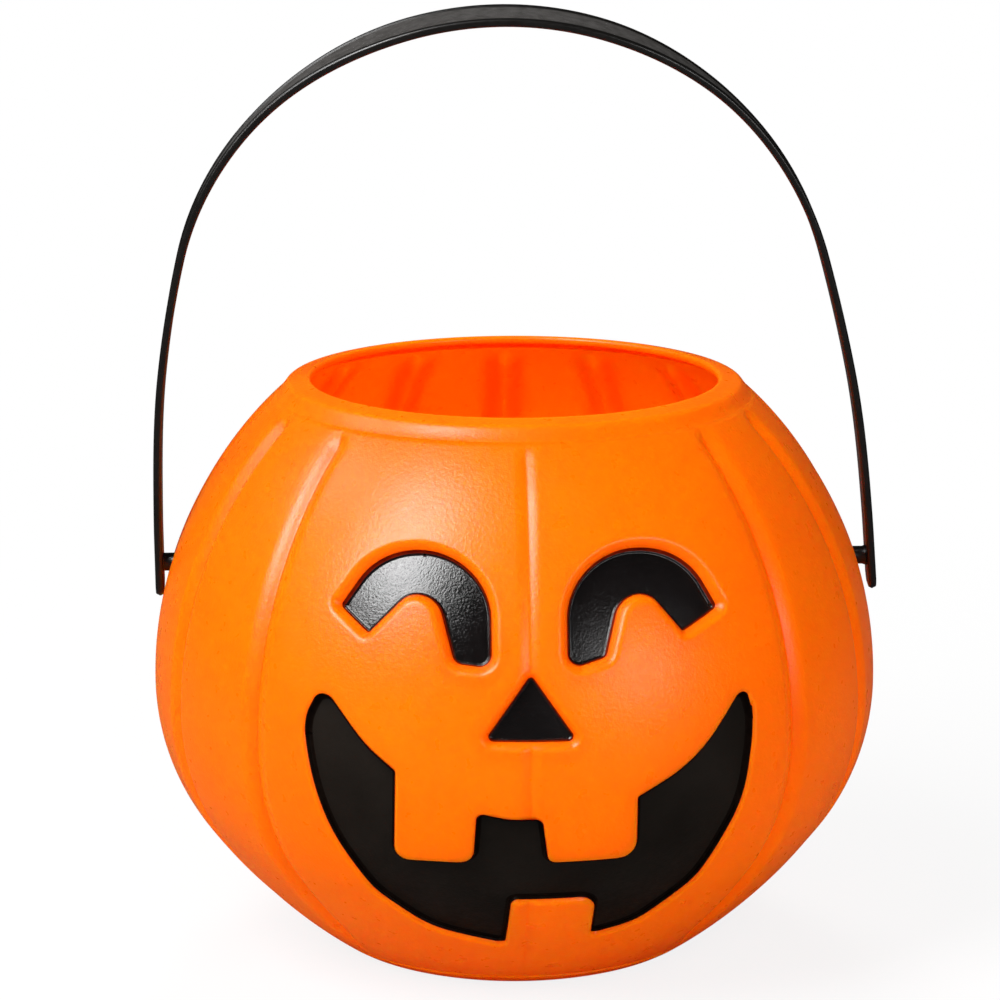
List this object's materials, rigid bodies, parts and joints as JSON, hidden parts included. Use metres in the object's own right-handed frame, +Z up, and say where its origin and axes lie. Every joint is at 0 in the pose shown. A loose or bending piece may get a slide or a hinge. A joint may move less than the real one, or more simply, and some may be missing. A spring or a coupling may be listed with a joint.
{
  "type": "pumpkin candy pail",
  "caption": "Round open-topped jack-o'-lantern pail with a sunk, painted grinning face and a strap handle that swings on snap-in pegs.",
  "frame": {"origin": "middle of the base, on the surface that the pail stands on", "axes": "+Z up, -Y towards the side with the face, X along the handle's pivots"},
  "size_m": [0.2164, 0.2159, 0.2811],
  "materials": {
    "orange_shell": "satin, blow-moulded polyethylene with a fine grain",
    "black_strap": "satin, injection-moulded polypropylene",
    "gloss_black_paint": "glossy sprayed enamel with a pebbled skin",
    "satin_black_paint": "satin sprayed enamel"
  },
  "bodies": {
    "pail": {"pail_body": "orange_shell", "left_eye_paint": "gloss_black_paint", "right_eye_paint": "gloss_black_paint", "nose_paint": "gloss_black_paint", "mouth_paint": "satin_black_paint"},
    "handle": {"handle": "black_strap"}
  },
  "joints": [
    {"name": "handle_swing", "type": "hinge", "parent": "pail", "child": "handle", "pos_m": [0, 0, 0.1145], "axis": [1, 0, 0], "range_deg": [-120, 101]}
  ]
}
